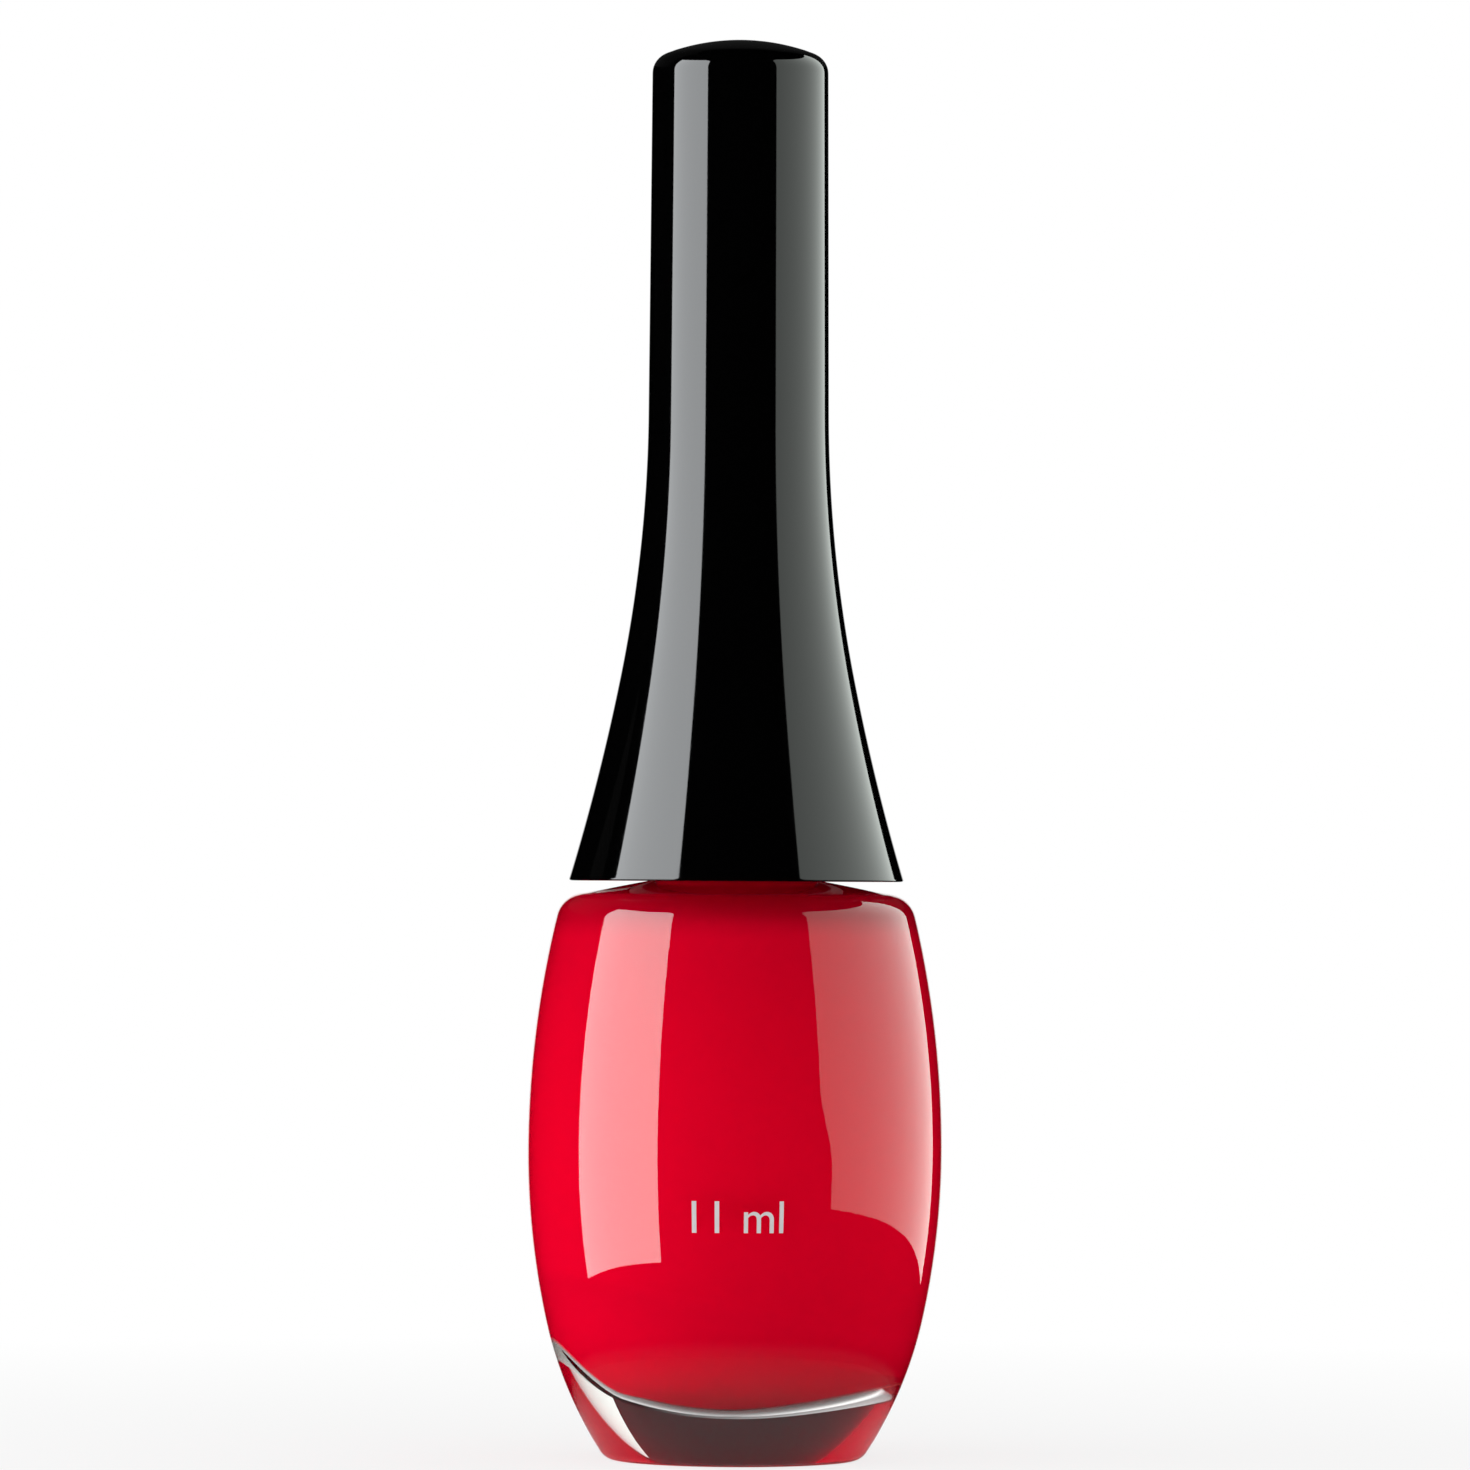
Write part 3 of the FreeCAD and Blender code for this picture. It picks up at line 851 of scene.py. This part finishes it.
def studio_world():
    """White behind everything and plain soft light on outer surfaces.

    Light through the glass falls off from left to right, and reflections see a dark room with a
    narrow white backdrop behind the bottle.
    """
    world = bpy.data.worlds.new("studio")
    bpy.context.scene.world = world
    world.use_nodes = True
    tree = world.node_tree
    sky = tree.nodes["Background"]
    ray = tree.nodes.new("ShaderNodeLightPath")
    axes = axes_of(tree, "Generated")
    ambient = ranged(tree, axes.outputs["X"], *light_through_glass, *light_through_glass_span)
    ambient = mixed(tree, ray.outputs["Is Diffuse Ray"], ambient, plain_light)
    backdrop = ranged(tree, axes.outputs["Y"], 0.0, 1.0, *backdrop_edge)
    reflected = reflected_ray(tree, ray)
    level = mixed(tree, reflected, ambient, backdrop)
    level = mixed(tree, ray.outputs["Is Camera Ray"], level, 1.0)
    sky.inputs["Color"].default_value = (1, 1, 1, 1)
    tree.links.new(level, sky.inputs["Strength"])


def panel(name, near, far, low_angle, high_angle, corner=0.0, lean=0.0, rise=0.0):
    """A curved screen round the bottle, between two azimuths from the camera's side and two elevations.

    Its upper near corner can be rounded, its near edge can lean low down, and its low edge can rise
    from near to far. All of these are in degrees.
    """
    distance, columns, rows = screen_distance, 24, 24
    side = 1 if far > near else -1
    verts, faces = [], []
    for i in range(columns + 1):
        for j in range(rows + 1):
            foot = low_angle + rise * i / columns
            up = foot + (high_angle - foot) * j / rows
            past = max(0.0, up - (high_angle - corner))
            rounding = corner - math.sqrt(corner ** 2 - past ** 2)
            start = near + side * (rounding + lean * (1 - smooth((up + 3) / 9)))
            around = math.radians(start + (far - start) * i / columns)
            spot = Vector((math.sin(around), -math.cos(around), math.tan(math.radians(up)))) * distance
            verts.append(spot + Vector((0, 0, belly_height * MM)))
    for i in range(columns):
        for j in range(rows):
            a = i * (rows + 1) + j
            faces.append((a, a + rows + 1, a + rows + 2, a + 1))
    data = bpy.data.meshes.new(name)
    data.from_pydata(verts, [], faces)
    screen = bpy.data.objects.new(name, data)
    bpy.context.scene.collection.objects.link(screen)
    screen.visible_camera = False
    made = bpy.data.materials.new(name)
    made.use_nodes = True
    made.node_tree.nodes.clear()
    data.materials.append(made)
    out = made.node_tree.nodes.new("ShaderNodeOutputMaterial")
    glow = made.node_tree.nodes.new("ShaderNodeEmission")
    made.node_tree.links.new(glow.outputs["Emission"], out.inputs["Surface"])
    glow.inputs["Strength"].default_value = 0.0
    ends = [distance * -math.cos(math.radians(angle)) for angle in (near, far)]
    return made.node_tree, glow, ends


def softbox(name, edges, lights, shines, tint):
    """A panel that gives plain light and shines brighter in reflections.

    Each level of light is a pair, for the near end and the far end.
    """
    tree, glow, ends = panel(name, **edges)
    ray = tree.nodes.new("ShaderNodeLightPath")
    axes = axes_of(tree)
    light = ranged(tree, axes.outputs["Y"], *lights, *ends)
    shine = ranged(tree, axes.outputs["Y"], *shines, *ends)
    reflected = reflected_ray(tree, ray)
    tree.links.new(mixed(tree, reflected, light, shine), glow.inputs["Strength"])
    glow.inputs["Color"].default_value = (*tint, 1)


def grey_card():
    """A dark card over the backdrop: what shows through the thick glass under the lacquer."""
    glow = panel("grey_card", near=144, far=250, low_angle=16, high_angle=60)[1]
    glow.inputs["Strength"].default_value = grey_card_level


def studio_floor():
    """A pale floor that keeps a faint shadow and turns white with distance.

    It lights the lacquer from below, more at its left and right than in the middle, and only the
    part near the foot is seen in reflections.
    """
    data = bpy.data.meshes.new("floor")
    size = floor_half_size
    corners = [(-size, -size, 0), (size, -size, 0), (size, size, 0), (-size, size, 0)]
    data.from_pydata(corners, [], [(0, 1, 2, 3)])
    floor = bpy.data.objects.new("floor", data)
    bpy.context.scene.collection.objects.link(floor)
    made = bpy.data.materials.new("floor")
    made.use_nodes = True
    tree = made.node_tree
    shader = tree.nodes["Principled BSDF"]
    shader.inputs["Base Color"].default_value = (*floor_colour, 1)
    shader.inputs["Roughness"].default_value = 1.0
    shader.inputs["Specular IOR Level"].default_value = 0.0
    ray = tree.nodes.new("ShaderNodeLightPath")
    place = tree.nodes.new("ShaderNodeTexCoord")
    reach = tree.nodes.new("ShaderNodeVectorMath")
    reach.operation = "LENGTH"
    tree.links.new(place.outputs["Object"], reach.inputs[0])
    paper = ranged(tree, reach.outputs["Value"], 0.8, 1.0, *floor_fades_to_white)
    glow = tree.nodes.new("ShaderNodeEmission")
    axes = axes_of(tree)
    from_left = ranged(tree, axes.outputs["X"], floor_light_left, 1.0, -floor_light_reach, 0.0)
    from_right = ranged(tree, axes.outputs["X"], 1.0, floor_light_right, 0.0, floor_light_reach)
    lighting = math_node(tree, "MAXIMUM", from_left, from_right)
    falloff = ranged(tree, reach.outputs["Value"], 1.0, 0.5, *floor_light_falloff)
    lighting = math_node(tree, "MULTIPLY", lighting, falloff)
    tree.links.new(mixed(tree, ray.outputs["Is Camera Ray"], lighting, 1.0), glow.inputs["Strength"])
    clear = tree.nodes.new("ShaderNodeBsdfTransparent")
    lit = tree.nodes.new("ShaderNodeMixShader")
    seen = tree.nodes.new("ShaderNodeMixShader")
    through = ranged(tree, reach.outputs["Value"], 0.0, 1.0, *floor_glow_for_glass)
    through = math_node(tree, "MULTIPLY", ray.outputs["Is Transmission Ray"], through)
    seen_paper = math_node(tree, "MULTIPLY", ray.outputs["Is Camera Ray"], paper)
    tree.links.new(math_node(tree, "MAXIMUM", seen_paper, through), lit.inputs["Fac"])
    tree.links.new(shader.outputs["BSDF"], lit.inputs[1])
    tree.links.new(glow.outputs["Emission"], lit.inputs[2])
    reflected = reflected_ray(tree, ray)
    beyond_foot = ranged(tree, reach.outputs["Value"], 0.0, 1.0, *floor_out_of_mirrors)
    tree.links.new(math_node(tree, "MULTIPLY", reflected, beyond_foot), seen.inputs["Fac"])
    tree.links.new(lit.outputs["Shader"], seen.inputs[1])
    tree.links.new(clear.outputs["BSDF"], seen.inputs[2])
    tree.links.new(seen.outputs["Shader"], tree.nodes["Material Output"].inputs["Surface"])
    data.materials.append(made)


def studio_camera():
    """Eye level with the bottle's shoulder, far off with a long lens, tipped up and rolled a little."""
    data = bpy.data.cameras.new("camera")
    data.sensor_width = 36
    data.lens = data.sensor_width * camera_distance / camera_view_width
    data.clip_start = 0.01
    camera = bpy.data.objects.new("camera", data)
    bpy.context.scene.collection.objects.link(camera)
    eye = Vector((camera_side, -camera_distance, camera_height))
    aim = Vector((camera_side, 0, camera_aim_height))
    camera.location = eye
    facing = (aim - eye).to_track_quat("-Z", "Y")
    camera.rotation_mode = "QUATERNION"
    camera.rotation_quaternion = facing @ Quaternion((0, 0, 1), camera_roll)
    bpy.context.scene.camera = camera


studio_world()
softbox("softbox_left", dict(near=-43, far=-96, low_angle=-17, high_angle=38, corner=9, rise=2),
        lights=(1.5, 1.5), shines=(7.2, 7.2), tint=(0.95, 0.98, 1.0))
softbox("softbox_right", dict(near=48, far=143, low_angle=-9, high_angle=43, corner=9, lean=7),
        lights=(0.05, 1.2), shines=(1.6, 3.0), tint=(0.93, 1.0, 0.95))
grey_card()
studio_floor()
studio_camera()
bpy.context.scene.view_settings.view_transform = "Standard"
